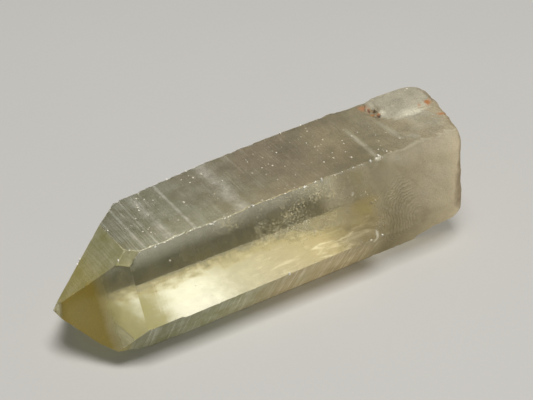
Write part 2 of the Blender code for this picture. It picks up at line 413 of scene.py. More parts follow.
def buildCrystalMesh():
    bm = mergedSolid(frame["nodes"][crystalNode])
    bm.faces.index_update()
    kinds = kindOfFaces(bm)
    points, triangles, sources, edgePoints = fillFaces(bm, kinds)
    kinds = kinds[np.array(sources)]
    bm.free()
    spots, tri, worn, edge = roundedAndWorn(points, triangles, edgePoints)
    frost, under, lines, lamp, tone = np.array([kind[1:] for kind in faceKinds.values()])[kinds].T
    lineStrength = np.ones(len(spots))
    for k in range(3):
        np.minimum.at(lineStrength, tri[:, k], lines)
    mesh = bpy.data.meshes.new("citrineCrystal")
    mesh.from_pydata((spots * mm).tolist(), [], tri.tolist())
    addAttribute(mesh, "worn", "POINT", worn)
    addAttribute(mesh, "edge", "POINT", edge)
    addAttribute(mesh, "lines", "POINT", lineStrength)
    addAttribute(mesh, "chips", "POINT", chipChance(spots, edge))
    addAttribute(mesh, "dust", "POINT", dustChance(spots, lineStrength, worn))
    addAttribute(mesh, "frost", "FACE", frost)
    addAttribute(mesh, "under", "FACE", under)
    addAttribute(mesh, "lamp", "FACE", lamp)
    addAttribute(mesh, "tone", "FACE", tone)
    mesh.shade_smooth()
    obj = bpy.data.objects.new("citrineCrystal", mesh)
    scene.collection.objects.link(obj)
    return obj


grainChance = {
    "upper": 12.0,  # z above which a point is on the top or its edges
    "nearSide": -4.0,
    "chipsFrom": 0.3,
    "chipsElsewhere": 0.3,  # against those on the near top edge
    "chipsAbove": 0.4,
    "dustOnLines": 0.95,
    "dustPatches": (0.5, 1.3, 0.22),  # middle, change and noise per mm
    "dustLeast": 0.1,
    "dustElsewhere": 0.025,
    "dustWornOff": 0.6,
    "dustAbove": 5.0,
}


def chipChance(spots, edge):
    # Chips sit on the sharp edges, most of them on the near top edge.
    nearTop = (spots[:, 1] < grainChance["nearSide"]) & (spots[:, 2] > grainChance["upper"])
    here = (edge > grainChance["chipsFrom"]) & (spots[:, 2] > grainChance["chipsAbove"])
    return here * np.where(nearTop, 1.0, grainChance["chipsElsewhere"])


def dustChance(spots, lineStrength, worn):
    # Dust lies in patches, nearly all of it on the top.
    onTop = (lineStrength > grainChance["dustOnLines"]) & (spots[:, 2] > grainChance["upper"])
    middle, change, perMm = grainChance["dustPatches"]
    patches = np.array([middle + change * noise.noise(Vector(spot) * perMm) for spot in spots])
    patches = np.clip(patches, grainChance["dustLeast"], 1.0) * (spots[:, 2] > grainChance["dustAbove"])
    kept = 1.0 - grainChance["dustWornOff"] * worn
    return patches * np.where(onTop, 1.0, grainChance["dustElsewhere"]) * kept


def addAttribute(mesh, name, domain, values):
    mesh.attributes.new(name, "FLOAT", domain).data.foreach_set("value", np.asarray(values, np.float32))


# Fine relief over the whole crystal: growth lines across the prism faces, ripples on the broken base.

relief = {
    "Line Height": 0.022,  # mm
    "Lines Per mm": 2.1,
    "Ripple Height": 0.05,
    "Ripple Spacing": 0.85,
    "Grain Height": 0.05,
}

reliefPattern = {
    "lineStretch": 0.16,  # change along a growth line, against across it
    "lineNoise": (1.0, 2.0, 0.6),
    "patchNoise": (0.11, 2.0),
    "linePatches": (0.35, 0.65, 0.25, 1.0),
    "lineGain": 2.0,
    "rippleCentre": (30.3, 1.8, 16.4),
    "rippleWaver": 1.6,
    "waverNoise": (0.35, 2.0),
    "rippleNoise": (0.22, 1.0),
    "ripplePatches": (0.42, 0.62),
    "grainNoise": (1.1, 4.0, 0.6),
}


def reliefTree():
    tree = bpy.data.node_groups.new("growthRelief", "GeometryNodeTree")
    tree.interface.new_socket("Mesh", in_out="INPUT", socket_type="NodeSocketGeometry")
    for name in relief:
        tree.interface.new_socket(name, in_out="INPUT", socket_type="NodeSocketFloat")
    tree.interface.new_socket("Material", in_out="INPUT", socket_type="NodeSocketMaterial")
    tree.interface.new_socket("Mesh", in_out="OUTPUT", socket_type="NodeSocketGeometry")
    given = addNode(tree, "NodeGroupInput").outputs
    place = addNode(tree, "GeometryNodeInputPosition").outputs[0]
    normal = addNode(tree, "GeometryNodeInputNormal").outputs[0]
    spot = doVector(tree, "MULTIPLY", place, (1 / mm,) * 3)
    split = addNode(tree, "ShaderNodeSeparateXYZ", {0: spot}).outputs

    def named(name):
        return addNode(tree, "GeometryNodeInputNamedAttribute", {"Name": name}, data_type="FLOAT").outputs[0]

    along = doMath(tree, "MULTIPLY", split["X"], given["Lines Per mm"])
    across = doMath(tree, "MULTIPLY", split["Y"], reliefPattern["lineStretch"])
    height = doMath(tree, "MULTIPLY", split["Z"], reliefPattern["lineStretch"])
    lineSpot = addNode(tree, "ShaderNodeCombineXYZ", {0: along, 1: across, 2: height}).outputs[0]
    lineNoise = doMath(tree, "SUBTRACT", noiseOf(tree, lineSpot, *reliefPattern["lineNoise"]), 0.5)
    patches = remap(tree, noiseOf(tree, spot, *reliefPattern["patchNoise"]), *reliefPattern["linePatches"])
    lineHere = doMath(tree, "MULTIPLY", named("lines"), reliefPattern["lineGain"])
    lineRise = doMath(tree, "MULTIPLY", lineNoise, given["Line Height"], patches, lineHere)

    away = doVector(tree, "DISTANCE", spot, reliefPattern["rippleCentre"])
    waver = noiseOf(tree, spot, *reliefPattern["waverNoise"])
    waver = doMath(tree, "MULTIPLY", waver, reliefPattern["rippleWaver"])
    turns = doMath(tree, "DIVIDE", doMath(tree, "ADD", away, waver), given["Ripple Spacing"])
    wave = doMath(tree, "SINE", doMath(tree, "MULTIPLY", turns, math.tau))
    rippleHere = noiseOf(tree, spot, *reliefPattern["rippleNoise"])
    rippleHere = remap(tree, rippleHere, *reliefPattern["ripplePatches"])
    ripple = doMath(tree, "MULTIPLY", wave, given["Ripple Height"], rippleHere)
    grain = doMath(tree, "SUBTRACT", noiseOf(tree, spot, *reliefPattern["grainNoise"]), 0.5)
    grain = doMath(tree, "MULTIPLY", grain, given["Grain Height"])
    wornRise = doMath(tree, "MULTIPLY", doMath(tree, "ADD", ripple, grain), named("worn"))

    rise = doMath(tree, "MULTIPLY", doMath(tree, "ADD", lineRise, wornRise), mm)
    offset = scaled(tree, normal, rise)
    moved = addNode(tree, "GeometryNodeSetPosition", {"Geometry": given["Mesh"], "Offset": offset}).outputs[0]
    endTree(tree, moved, given["Material"])
    return tree


def endTree(tree, made, material):
    real = addNode(tree, "GeometryNodeRealizeInstances", {0: made}).outputs[0]
    dressed = addNode(tree, "GeometryNodeSetMaterial", {"Geometry": real, "Material": material}).outputs[0]
    addNode(tree, "NodeGroupOutput", {"Mesh": dressed})


def runTree(obj, tree, values):
    # Runs a node tree on an object and keeps the result as a plain mesh.
    modifier = obj.modifiers.new(tree.name, "NODES")
    modifier.node_group = tree
    for item in tree.interface.items_tree:
        if item.in_out == "INPUT" and item.name in values:
            modifier[item.identifier] = values[item.name]
    bpy.context.view_layer.update()
    graph = bpy.context.evaluated_depsgraph_get()
    made = bpy.data.meshes.new_from_object(
        obj.evaluated_get(graph), preserve_all_data_layers=True, depsgraph=graph)
    obj.modifiers.remove(modifier)
    made.materials.clear()
    made.materials.append(values["Material"])
    made.polygons.foreach_set("material_index", [0] * len(made.polygons))
    obj.data = made


# Patterns that the crystal and its small pieces share.

patternNoise = {  # scale per mm, detail, roughness and warp
    "lineStretch": 0.09,
    "Lines": (1.0, 3.0, 0.6),
    "Cloud": (0.16, 4.0, 0.6, 0.3),
    "Mottle": (0.5, 4.0, 0.65),
    "Grain": (6.0, 3.0, 0.6),
}


def patternGroup():
    group = bpy.data.node_groups.new("quartzPatterns", "ShaderNodeTree")
    group.interface.new_socket("Spot", in_out="INPUT", socket_type="NodeSocketVector")
    group.interface.new_socket("Lines Per mm", in_out="INPUT", socket_type="NodeSocketFloat")
    for name in ("Lines", "Cloud", "Mottle", "Grain"):
        group.interface.new_socket(name, in_out="OUTPUT", socket_type="NodeSocketFloat")
    given = addNode(group, "NodeGroupInput").outputs
    split = addNode(group, "ShaderNodeSeparateXYZ", {0: given["Spot"]}).outputs
    along = doMath(group, "MULTIPLY", split["X"], given["Lines Per mm"])
    across = doMath(group, "MULTIPLY", split["Y"], patternNoise["lineStretch"])
    height = doMath(group, "MULTIPLY", split["Z"], patternNoise["lineStretch"])
    lineSpot = addNode(group, "ShaderNodeCombineXYZ", {0: along, 1: across, 2: height}).outputs[0]
    made = {"Lines": noiseOf(group, lineSpot, *patternNoise["Lines"])}
    for name in ("Cloud", "Mottle", "Grain"):
        made[name] = noiseOf(group, given["Spot"], *patternNoise[name])
    addNode(group, "NodeGroupOutput", made)
    return group


# The crystal's material: clear pale-yellow quartz, with frost where its faces are etched or worn.
# Places are in mm. A range gives from, to and the result at each of them, or 0 and 1 where it has only two.

quartz = {
    "ior": 1.544,
    "absorption": (0.90, 0.88, 0.66, 1.0),
    "density": 36.0,
    "clearTint": (0.98, 0.975, 0.93, 1.0),
    "smooth": 0.02,
    "frosted": 0.32,
    "roughFrom": (0.05, 0.6),  # amounts of frost between which smooth turns to frosted
    "frostRough": 0.55,
    "frostShine": 0.3,
    "glow": 0.45,  # share of the frost's light that comes through from behind
    "wornLamp": 0.66,  # share of the lamps' light that the worn base lets through
    "bumpStrength": 0.5,
    "bumpDepth": 0.08,
    "grainBump": 0.1,
    "linesPerMm": 5.0,
    "onTop": (0.92, 0.98),  # growth lines this strong are on the top face alone
    "downward": (-0.3, -0.42),
    "farSide": (-0.3, 0.3),
}

growthLook = {
    "alongX": (-14.0, -17.0, 0.35, 1.0),  # strong by the point, faint in the middle
    "lowerSides": (-0.3, -0.42, 0.0, 0.9),
    "patches": (0.35, 0.6, 0.3, 1.0),
    "contrast": (0.32, 0.68, -1.0, 1.0),
    "bands": (  # x, lean with y, and width of the light bands over the top
        (-15.8, -0.03, 0.8), (-5.5, 0.0, 1.3), (-19.3, 0.0, 0.28), (-17.6, 0.0, 0.2), (-12.4, 0.0, 0.35)),
    "bandPatches": (0.3, 0.6, 0.18, 0.55),
    "ledge": (14.6, 0.03, 0.50),  # the bright line on the ledge, over the near part of the top
    "ledgePatches": (0.3, 0.6, 0.05, 0.42),
    "ledgeEnd": (2.6, 0.6),
}

frostSpread = {
    "patches": (0.75, 1.25, 0.31, 0.61),
    "lineChange": 0.60,
    "wander": (-14.0, -4.0, 1.5, 6.0),  # how far the front of the cloudy base wanders, along x
    "wanderFine": 1.5,
    "toBase": (4.0, 16.0),
    "amberEnd": (-23.0, -25.6),
    "amberSide": (0.0, -0.5, 0.25, 1.0),
    "slopingUp": (0.6, 0.7),
    "slopingBack": (-0.3, -0.5),
    "edges": (0.45, 0.95, 0.0, 0.8),
    "filmEdge": (3.6, 6.0, 0.0, 0.9),  # y at which the film under the crystal fades out
    "filmShrinks": (2.0, 13.0, 0.0, 2.0),
    "filmRagged": (1.7, 0.4),
}

leastFrost = {  # where a part is never clearer than this
    "base": 0.80,
    "worn": 0.88,
    "bands": 0.88,
    "amber": 0.88,
    "lowerSides": 0.95,
    "slopingFace": 0.94,
    "top": 0.84,
    "film": 0.95,
    "ledge": 0.80,
}

sideColours = {
    "grey": (0.245, 0.24, 0.15, 1.0),
    "olive": (0.205, 0.198, 0.095, 1.0),
    "brown": (0.24, 0.19, 0.10, 1.0),
    "amber": (0.42, 0.31, 0.045, 1.0),
    "lines": (0.78, 0.75, 0.60, 1.0),
    "feather": (0.46, 0.38, 0.17, 1.0),
    "oliveToGrey": (0.36, 0.58),
    "toBrown": (-12.0, 2.0),
    "lineLight": (0.0, 0.9, 0.0, 0.36),
    # painted shade: the two lower sides are made darker
    "nearShade": (-18.0, 2.0, 0.76, 1.42),  # along x: the near lower side is darker by the point
    "farShade": (1.2, 4.5, 1.0, 0.35),  # along z: the far one is darker up its height
    "white": (1.0, 1.0, 1.0, 1.0),
    # painted shade: an olive tint for the far lower side
    "farShadeTint": (0.84, 1.06, 0.60, 1.0),
    "nearTint": (1.0, 1.03, 1.18, 1.0),
    "topTint": (1.0, 1.01, 1.20, 1.0),
    "featherUp": (3.0, 0.2),
    "featherAcross": (4.0, 5.0),
    "featherPatches": (0.3, 0.65, 0.5, 1.0),
}

wornColours = {
    "worn": (0.31, 0.265, 0.16, 1.0),
    "end": (0.80, 0.70, 0.50, 1.0),
    "lump": (0.84, 0.79, 0.64, 1.0),
    "broken": (0.27, 0.21, 0.13, 1.0),
    # pale colour of the chips, also used for a painted highlight
    "chipAndHighlight": (0.80, 0.78, 0.66, 1.0),
    "toEnd": (14.0, 26.0),
    "endWander": 2.0,
    "topSlope": 0.0185,  # the top rises this much with x
    "lumpUp": (14.02, 14.16),
    "lumpAlong": (18.6, 19.4),
    # painted shade: faces that point up are darker
    "upwardShade": (0.5, 0.95, 0.73, 0.50),
    "brokenFace": (0.22, 0.5),
    "brokenPatches": (0.36, 0.64, 1.0, 0.72),
    # a painted highlight along the rounded edge between the top and the near side, in the pale colour of the
    # chips
    "cornerFacing": 0.86,
    "cornerWidth": (0.09, 0.0),
    "cornerSide": (-0.3, -0.45),
    "cornerHighlight": 0.28,
    "rimLight": 0.9,
    "brightRims": (((24.3, 0.35, 14.45), 0.22, 0.75), ((20.6, 2.0, 14.7), 1.0, 0.6)),
}

filmLook = {
    "ends": (-26.0, 16.0),
    "wander": 1.0,
    # the stops paint the film lighter and darker along the crystal; the white ones are a painted highlight
    "stops": (  # from the point (0) to the base (1)
        (0.00, (0.36, 0.27, 0.06, 1.0)), (0.10, (0.33, 0.30, 0.14, 1.0)), (0.19, (0.42, 0.39, 0.24, 1.0)),
        (0.27, (1.0, 1.0, 1.0, 1.0)), (0.36, (1.0, 1.0, 1.0, 1.0)), (0.47, (0.66, 0.63, 0.54, 1.0)),
        (0.64, (0.56, 0.50, 0.38, 1.0)), (0.80, (0.56, 0.48, 0.32, 1.0)), (0.90, (0.24, 0.20, 0.12, 1.0)),
        (1.00, (0.18, 0.14, 0.07, 1.0))),
    "wisp": (0.98, 0.92, 0.80, 1.0),
    "wispStretch": (0.45, 1.6, 1.0),
    "wispNoise": (0.55, 4.0, 0.65, 1.2),
    "wispsFrom": (0.52, 0.72),
    "wispsAlong": (-6.0, 0.0, 0.0, 0.9),
    "dimAlong": (0.0, 10.0, 1.0, 0.56),
    "dimEdge": (2.6, 5.0),
}

rippleLook = {
    "centre": (18.0, -9.8, 6.2),
    "waver": 1.6,
    "perMm": 15.0,
    "reach": (6.5, 4.5),
    "across": (-5.0, -6.5),
    "along": (18.8, 16.4),
    "shade": 0.17,
    "bump": 0.5,
}

speckleLook = {"grain": 0.14, "mottle": 0.08, "topGrain": 0.16, "topMottle": 0.14}

marks = {  # each list has centre, stretch along x and radius
    "ragged": 0.35,
    "speckled": 0.14,
    "flat": 0.6,  # a patch reaches further up and down than across
    "core": 0.25,  # share of the radius within which a mark is full
    "stain": (0.46, 0.18, 0.06, 1.0),
    "dirt": (0.07, 0.028, 0.008, 1.0),
    "stainSpots": (
        ((19.6, 5.0, 14.35), 1.0, 0.80), ((26.0, 0.95, 14.86), 0.9, 0.52), ((27.1, 1.15, 14.86), 0.34, 0.42),
        ((27.56, -1.9, 14.45), 0.7, 0.7), ((20.0, 4.1, 14.3), 1.0, 0.36), ((20.05, 3.1, 14.15), 1.0, 0.40),
        ((20.1, 2.1, 14.5), 1.0, 0.34)),
    "dirtSpots": (
        ((20.5, 3.55, 14.2), 1.0, 0.36), ((19.95, 4.1, 14.2), 1.0, 0.30), ((20.05, 1.8, 14.65), 1.0, 0.34)),
    "cracks": (((11.25, -10.05, 5.7), 2.2, 0.85), ((14.5, -5.75, 14.1), 0.6, 0.34)),
    "chippedFrom": (0.5, 0.95),
    "topPatches": (  # place, radius and change of the lighter and darker patches of the top
        ((11.6, 1.6, 14.0), 5.0, 1.55), ((6.0, 2.4, 13.9), 3.2, 0.84), ((-14.0, 1.0, 13.5), 5.0, 1.10)),
    "patchCore": 0.3,
}


def newMaterial(name):
    material = bpy.data.materials.new(name)
    material.use_nodes = True
    material.node_tree.nodes.clear()
    return material, material.node_tree


def swing(tree, pattern, low, high):
    # A noise pattern stays mostly between 0.3 and 0.7: this stretches it to the wanted range.
    return remap(tree, pattern, 0.3, 0.7, low, high)


def bandMask(tree, at, band):
    # One soft light band across the crystal: where it is along x, how it leans with y, and its width.
    place, lean, width = band
    middle = doMath(tree, "ADD", doMath(tree, "MULTIPLY", at.y, lean), place)
    away = doMath(tree, "ABSOLUTE", doMath(tree, "SUBTRACT", at.x, middle))
    return remap(tree, away, width, 0.0)


def patchMask(tree, at, rough, patches):
    # Ragged patches around the given centres.
    mask = 0.0
    for centre, stretch, radius in patches:
        away = doVector(tree, "SUBTRACT", at.spot, centre)
        away = doVector(tree, "MULTIPLY", away, (stretch, 1.0, marks["flat"]))
        away = doMath(tree, "ADD", doVector(tree, "LENGTH", away, (0, 0, 0)), rough)
        mask = doMath(tree, "MAXIMUM", mask, remap(tree, away, radius, marks["core"] * radius))
    return mask


def quartzFields(tree, patterns):
    # What the rest of the material reads: places, directions, patterns and the mesh's own values.
    coordinates = addNode(tree, "ShaderNodeTexCoord").outputs
    spot = doVector(tree, "MULTIPLY", coordinates["Object"], (1 / mm,) * 3)
    place = addNode(tree, "ShaderNodeSeparateXYZ", {0: spot}).outputs
    facing = addNode(tree, "ShaderNodeSeparateXYZ", {0: coordinates["Normal"]}).outputs
    shared = useGroup(tree, patterns, {"Spot": spot, "Lines Per mm": quartz["linesPerMm"]})
    at = SimpleNamespace(
        spot=spot, x=place["X"], y=place["Y"], z=place["Z"],
        facingX=facing["X"], facingY=facing["Y"], facingZ=facing["Z"],
        fineLines=shared["Lines"], cloud=shared["Cloud"], mottle=shared["Mottle"], grain=shared["Grain"])
    for name in ("worn", "edge", "lines", "under", "frost", "lamp", "tone"):
        setattr(at, name, attribute(tree, name))
    at.onTop = remap(tree, at.lines, *quartz["onTop"])
    at.farSide = remap(tree, at.facingY, *quartz["farSide"])
    low = remap(tree, at.facingZ, *quartz["downward"])
    at.downward = doMath(tree, "SUBTRACT", low, at.under, clamp=True)
    at.ragged = swing(tree, at.mottle, -marks["ragged"], marks["ragged"])
    return at


def addGrowthLines(tree, at):
    # Fine streaks, the light bands over the top, and the bright line on the ledge.
    strong = remap(tree, at.x, *growthLook["alongX"])
    strong = doMath(tree, "MAXIMUM", strong, remap(tree, at.facingZ, *growthLook["lowerSides"]))
    lineHere = doMath(tree, "MULTIPLY", at.lines, strong, remap(tree, at.mottle, *growthLook["patches"]))
    at.streaks = doMath(tree, "MULTIPLY", remap(tree, at.fineLines, *growthLook["contrast"]), lineHere)
    bands = doMath(tree, "MAXIMUM", *[bandMask(tree, at, band) for band in growthLook["bands"]])
    at.bands = doMath(tree, "MULTIPLY", bands, at.onTop, remap(tree, at.mottle, *growthLook["bandPatches"]))
    at.ledge = doMath(
        tree, "MULTIPLY", bandMask(tree, at, growthLook["ledge"]), at.onTop,
        remap(tree, at.mottle, *growthLook["ledgePatches"]), remap(tree, at.y, *growthLook["ledgeEnd"]))


def addFrostAmount(tree, at):
    # How much of the surface is frosted, from 0 clear to 1.
    wide, fine = frostSpread["filmRagged"]
    feather = doMath(
        tree, "ADD", at.y, swing(tree, at.mottle, -wide, wide), swing(tree, at.fineLines, -fine, fine))
    at.faded = doMath(tree, "ADD", feather, remap(tree, at.x, *frostSpread["filmShrinks"]))
    hidden = doMath(tree, "MULTIPLY", at.under, remap(tree, at.faded, *frostSpread["filmEdge"]))

    front = remap(tree, at.x, *frostSpread["wander"])
    front = doMath(tree, "MULTIPLY", front, swing(tree, at.cloud, 1.0, -1.0))
    fine = frostSpread["wanderFine"]
    at.cloudy = doMath(tree, "ADD", at.x, front, swing(tree, at.mottle, fine, -fine))
    at.toBase = remap(tree, at.cloudy, *frostSpread["toBase"])
    amber = remap(tree, doMath(tree, "ADD", at.x, at.mottle), *frostSpread["amberEnd"])
    at.amber = doMath(tree, "MULTIPLY", amber, remap(tree, at.facingY, *frostSpread["amberSide"]))
    sloping = doMath(
        tree, "MULTIPLY", remap(tree, at.facingZ, *frostSpread["slopingUp"]),
        remap(tree, at.facingX, *frostSpread["slopingBack"]))

    patchy = remap(tree, doMath(tree, "ADD", at.mottle, at.cloud), *frostSpread["patches"])
    lined = doMath(tree, "ADD", doMath(tree, "MULTIPLY", at.streaks, frostSpread["lineChange"]), 1.0)
    amount = doMath(tree, "MULTIPLY", at.frost, patchy, lined, doMath(tree, "SUBTRACT", 1.0, hidden))
    least = {
        "base": at.toBase, "worn": at.worn, "bands": at.bands, "amber": at.amber, "ledge": at.ledge,
        "lowerSides": at.downward, "slopingFace": sloping, "top": at.onTop,
        "film": doMath(tree, "SUBTRACT", at.under, hidden, clamp=True)}
    for name, mask in least.items():
        amount = doMath(tree, "MAXIMUM", amount, doMath(tree, "MULTIPLY", mask, leastFrost[name]))
    amount = doMath(tree, "MAXIMUM", amount, remap(tree, at.edge, *frostSpread["edges"]), clamp=True)
    at.cracks = patchMask(tree, at, at.ragged, marks["cracks"])
    at.amount = doMath(tree, "MAXIMUM", amount, at.cracks)


def sideFrost(tree, at):
    # Frost of the prism and the point: olive and grey, brown to the base, amber at the very tip.
    # The two lower sides carry painted shade, the near one darker by the point and the far one darker
    # up its height with an olive tint of shade, and the face kind's tone paints each face lighter or darker.
    looks = sideColours
    colour = mixColours(tree, remap(tree, at.mottle, *looks["oliveToGrey"]), looks["olive"], looks["grey"])
    colour = mixColours(tree, remap(tree, at.cloudy, *looks["toBrown"]), colour, looks["brown"])
    colour = mixColours(tree, at.amber, colour, looks["amber"])
    light = doMath(tree, "MAXIMUM", at.bands, remap(tree, at.streaks, *looks["lineLight"]))
    colour = mixColours(tree, light, colour, looks["lines"])

    # Painted shade on the two lower sides, with an olive tint of shade on the far one.
    nearShade = remap(tree, at.x, *looks["nearShade"])
    farShade = remap(tree, at.z, *looks["farShade"])
    shade = mixValues(tree, at.downward, 1.0, mixValues(tree, at.farSide, nearShade, farShade))
    colour = scaled(tree, colour, shade)
    lowFarSide = doMath(tree, "MULTIPLY", at.downward, at.farSide)
    lowNearSide = doMath(tree, "SUBTRACT", at.downward, at.farSide, clamp=True)
    tint = mixColours(tree, lowFarSide, looks["white"], looks["farShadeTint"])
    tint = mixColours(tree, lowNearSide, tint, looks["nearTint"])
    tint = mixColours(tree, at.onTop, tint, looks["topTint"])
    colour = doVector(tree, "MULTIPLY", colour, tint)

    lowFar = doMath(
        tree, "MULTIPLY", remap(tree, at.z, *looks["featherUp"]), remap(tree, at.y, *looks["featherAcross"]),
        remap(tree, at.mottle, *looks["featherPatches"]))
    # The face kind's tone: painted light and shade.
    return scaled(tree, mixColours(tree, lowFar, colour, looks["feather"]), at.tone)


def wornFrost(tree, at):
    # Frost of the worn base: its lump, its broken end and its pale rims. Faces that point up are
    # painted darker, as shade, and a painted highlight runs along the rounded edge between the top and the
    # near side.
    looks = wornColours
    wander = looks["endWander"]
    endward = doMath(tree, "ADD", at.x, swing(tree, at.cloud, wander, -wander))
    colour = mixColours(tree, remap(tree, endward, *looks["toEnd"]), looks["worn"], looks["end"])
    aboveTop = doMath(tree, "SUBTRACT", at.z, doMath(tree, "MULTIPLY", at.x, looks["topSlope"]))
    lump = doMath(
        tree, "MULTIPLY", remap(tree, aboveTop, *looks["lumpUp"]), remap(tree, at.x, *looks["lumpAlong"]))
    colour = mixColours(tree, lump, colour, looks["lump"])
    # Painted shade: faces that point up are darker.
    colour = scaled(tree, colour, remap(tree, at.facingZ, *looks["upwardShade"]))
    broken = doMath(
        tree, "MULTIPLY", remap(tree, at.facingX, *looks["brokenFace"]),
        remap(tree, at.mottle, *looks["brokenPatches"]))
    colour = mixColours(tree, broken, colour, looks["broken"])
    # Painted highlight along the rounded edge between the top and the near side.
    corner = doMath(tree, "ABSOLUTE", doMath(tree, "SUBTRACT", at.facingZ, looks["cornerFacing"]))
    corner = doMath(
        tree, "MULTIPLY", remap(tree, corner, *looks["cornerWidth"]),
        remap(tree, at.facingY, *looks["cornerSide"]), looks["cornerHighlight"])
    colour = mixColours(tree, corner, colour, looks["chipAndHighlight"])
    rims = doMath(tree, "MULTIPLY", patchMask(tree, at, at.ragged, looks["brightRims"]), looks["rimLight"])
    return mixColours(tree, rims, colour, looks["chipAndHighlight"])


def filmFrostAndLight(tree, at):
    # The pale film on the face that it lies on, seen through the crystal and lit by the lamps. Its colour
    # along the crystal is painted light and shade as well: white where a highlight is painted, darker towards
    # the point and the base.
    along = doMath(tree, "ADD", at.x, swing(tree, at.mottle, filmLook["wander"], -filmLook["wander"]))
    colour = rampOf(tree, remap(tree, along, *filmLook["ends"]), filmLook["stops"])
    drawn = doVector(tree, "MULTIPLY", at.spot, filmLook["wispStretch"])
    wisps = remap(tree, noiseOf(tree, drawn, *filmLook["wispNoise"]), *filmLook["wispsFrom"])
    wisps = doMath(tree, "MULTIPLY", wisps, remap(tree, at.x, *filmLook["wispsAlong"]))
    colour = mixColours(tree, wisps, colour, filmLook["wisp"])
    dimmed = scaled(tree, sideColours["feather"][:3], remap(tree, at.x, *filmLook["dimAlong"]))
    return mixColours(tree, remap(tree, at.faded, *filmLook["dimEdge"]), colour, dimmed)


def ripples(tree, at):
    # Curved ripples on the near side, where the base broke.
    away = doVector(tree, "DISTANCE", at.spot, rippleLook["centre"])
    turns = doMath(tree, "ADD", away, doMath(tree, "MULTIPLY", at.mottle, rippleLook["waver"]))
    wave = doMath(tree, "SINE", doMath(tree, "MULTIPLY", turns, rippleLook["perMm"]))
    return doMath(
        tree, "MULTIPLY", wave, remap(tree, away, *rippleLook["reach"]),
        remap(tree, at.y, *rippleLook["across"]), remap(tree, at.x, *rippleLook["along"]))


def speckled(tree, at, colour, ripple):
    grain, mottle, topGrain, topMottle = speckleLook.values()
    # The ripples' light and dark bands are painted light and shade, over the random grain and mottle.
    speckle = doMath(
        tree, "ADD", swing(tree, at.grain, 1.0 - grain, 1.0 + grain), swing(tree, at.mottle, -mottle, mottle),
        doMath(tree, "MULTIPLY", ripple, rippleLook["shade"]),
        doMath(tree, "MULTIPLY", at.onTop, swing(tree, at.grain, -topGrain, topGrain)),
        doMath(tree, "MULTIPLY", at.onTop, swing(tree, at.mottle, -topMottle, topMottle)))
    return scaled(tree, colour, speckle)


def marked(tree, at, colour):
    # Rust stains, dark dirt in the pit, and the white of chips and cracks.
    stains = patchMask(tree, at, at.ragged, marks["stainSpots"])
    colour = mixColours(tree, stains, colour, marks["stain"])
    specks = swing(tree, at.grain, -marks["speckled"], marks["speckled"])
    colour = mixColours(tree, patchMask(tree, at, specks, marks["dirtSpots"]), colour, marks["dirt"])
    chipped = doMath(tree, "MAXIMUM", remap(tree, at.edge, *marks["chippedFrom"]), at.ledge, at.cracks)
    return mixColours(tree, chipped, colour, wornColours["chipAndHighlight"])


def frostColour(tree, at, ripple):
    worn = doMath(tree, "MAXIMUM", at.worn, at.toBase)
    colour = mixColours(tree, worn, sideFrost(tree, at), wornFrost(tree, at))
    for place, radius, change in marks["topPatches"]:
        away = doMath(tree, "ADD", doVector(tree, "DISTANCE", at.spot, place), at.ragged)
        near = doMath(tree, "MULTIPLY", remap(tree, away, radius, marks["patchCore"] * radius), at.onTop)
        colour = scaled(tree, colour, mixValues(tree, near, 1.0, change))
    colour = mixColours(tree, at.under, colour, filmFrostAndLight(tree, at))
    return marked(tree, at, speckled(tree, at, colour, ripple))


def quartzMaterial(patterns):
    material, tree = newMaterial("citrineQuartz")
    at = quartzFields(tree, patterns)
    addGrowthLines(tree, at)
    addFrostAmount(tree, at)
    ripple = ripples(tree, at)
    colour = frostColour(tree, at, ripple)
    height = doMath(
        tree, "ADD", at.streaks, doMath(tree, "MULTIPLY", ripple, rippleLook["bump"]),
        doMath(tree, "MULTIPLY", at.grain, doMath(tree, "ADD", at.worn, quartz["grainBump"])))
    bump = addNode(tree, "ShaderNodeBump", {
        "Height": height, "Strength": quartz["bumpStrength"],
        "Distance": quartz["bumpDepth"] * mm}).outputs[0]
    rough = remap(tree, at.amount, *quartz["roughFrom"], quartz["smooth"], quartz["frosted"])

    clear = addNode(tree, "ShaderNodeBsdfPrincipled", {
        "Base Color": quartz["clearTint"], "Roughness": rough, "IOR": quartz["ior"],
        "Transmission Weight": 1.0, "Normal": bump}).outputs[0]
    frosty = addNode(tree, "ShaderNodeBsdfPrincipled", {
        "Base Color": colour, "Roughness": quartz["frostRough"], "IOR": quartz["ior"],
        "Specular IOR Level": quartz["frostShine"], "Normal": bump}).outputs[0]
    glow = addNode(tree, "ShaderNodeBsdfTranslucent", {"Color": colour, "Normal": bump}).outputs[0]
    frosty = mixShaders(tree, remap(tree, at.under, 0.0, 1.0, quartz["glow"], 0.0), frosty, glow)
    surface = mixShaders(tree, at.amount, clear, frosty)
    lampShare = mixValues(tree, at.worn, at.lamp, quartz["wornLamp"])
    lamps = addNode(tree, "ShaderNodeBsdfTransparent", {"Color": lampShare}).outputs[0]
    path = addNode(tree, "ShaderNodeLightPath").outputs["Is Shadow Ray"]
    inside = addNode(tree, "ShaderNodeVolumeAbsorption", {
        "Color": quartz["absorption"], "Density": quartz["density"]}).outputs[0]
    addNode(tree, "ShaderNodeOutputMaterial", {
        "Surface": mixShaders(tree, path, surface, lamps), "Volume": inside})
    return material


def keepOnFloor(obj):
    # The relief must not push the face that it lies on under the floor.
    mesh = obj.data
    spots = np.empty(len(mesh.vertices) * 3, np.float32)
    mesh.vertices.foreach_get("co", spots)
    spots[2::3] = np.maximum(spots[2::3], 0.0)
    mesh.vertices.foreach_set("co", spots)


